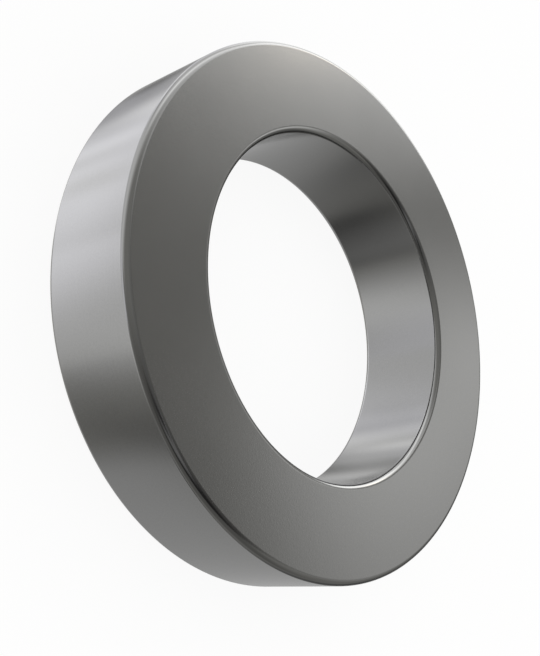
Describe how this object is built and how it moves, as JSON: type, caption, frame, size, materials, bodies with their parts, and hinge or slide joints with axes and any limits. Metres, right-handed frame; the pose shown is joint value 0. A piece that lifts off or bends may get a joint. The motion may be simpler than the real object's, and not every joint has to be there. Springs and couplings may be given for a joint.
{
  "type": "round hole washer",
  "caption": "Thick flat steel washer: a plain ring with a round bore, two flat parallel faces and rounded rims.",
  "frame": {"origin": "centre of the bore on the flat face that the washer lies on", "axes": "+Z along the bore, up from the face that the washer lies on; +X and +Y are any two square directions, because the ring is round"},
  "size_m": [0.026, 0.026, 0.005],
  "materials": {
    "steel": "bare steel, turned and ground to a satin finish"
  },
  "bodies": {
    "root": {"washer_ring": "steel"}
  },
  "joints": []
}
